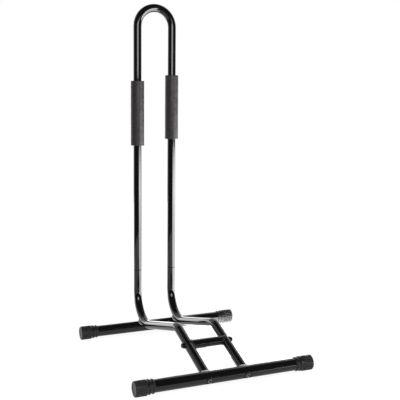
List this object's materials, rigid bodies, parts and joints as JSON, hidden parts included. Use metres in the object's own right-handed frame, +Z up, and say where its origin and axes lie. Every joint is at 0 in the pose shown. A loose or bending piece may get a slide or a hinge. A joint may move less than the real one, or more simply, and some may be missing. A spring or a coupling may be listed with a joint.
{
  "type": "floor bike rack",
  "caption": "Free-standing tubular rack for a bicycle: capped feet, bent side tubes and a tall plug-in hoop whose foam sleeves hold the wheel upright.",
  "frame": {"origin": "on the floor, under the middle of the rack's box", "axes": "+Z up; +X along the two feet; +Y from the front foot to the rear foot and the hoop"},
  "size_m": [0.39, 0.437, 0.7814],
  "materials": {
    "black_paint": "gloss",
    "foam": "matte",
    "cap_rubber": "matte",
    "pale_pad": "matte",
    "plug_plastic": "matte",
    "dark_steel": "satin",
    "zinc_steel": "satin"
  },
  "bodies": {
    "base": {"front_foot_tube": "black_paint", "rear_foot_tube": "black_paint", "spacer_tube": "black_paint", "side_tube_left": "black_paint", "side_tube_right": "black_paint", "front_cap_left": "cap_rubber", "front_cap_right": "cap_rubber", "rear_cap_left": "cap_rubber", "rear_cap_right": "cap_rubber", "front_saddle_left": "pale_pad", "front_saddle_right": "pale_pad", "front_plug_left": "plug_plastic", "front_plug_right": "plug_plastic", "front_screw_left": "dark_steel", "front_screw_right": "dark_steel", "rear_saddle_left": "pale_pad", "rear_saddle_right": "pale_pad", "rear_rivet_nut_left": "zinc_steel", "rear_rivet_nut_right": "zinc_steel", "rear_screw_left": "dark_steel", "rear_screw_right": "dark_steel", "spacer_plug_left": "plug_plastic", "spacer_plug_right": "plug_plastic", "spacer_saddle_left": "plug_plastic", "spacer_saddle_right": "plug_plastic", "spacer_washer_left": "zinc_steel", "spacer_washer_right": "zinc_steel", "spacer_screw_left": "dark_steel", "spacer_screw_right": "dark_steel"},
    "hoop": {"hoop_tube": "black_paint"},
    "foam_left": {"foam_sleeve_left": "foam"},
    "foam_right": {"foam_sleeve_right": "foam"}
  },
  "joints": [
    {"name": "hoop_lift", "type": "slide", "parent": "base", "child": "hoop", "axis": [0, 0, 1], "range_m": [0, 0.045]},
    {"name": "foam_left_slide", "type": "slide", "parent": "hoop", "child": "foam_left", "axis": [0, 0, 1], "range_m": [-0.295, 0.12]},
    {"name": "foam_right_slide", "type": "slide", "parent": "hoop", "child": "foam_right", "axis": [0, 0, 1], "range_m": [-0.31, 0.105]}
  ]
}
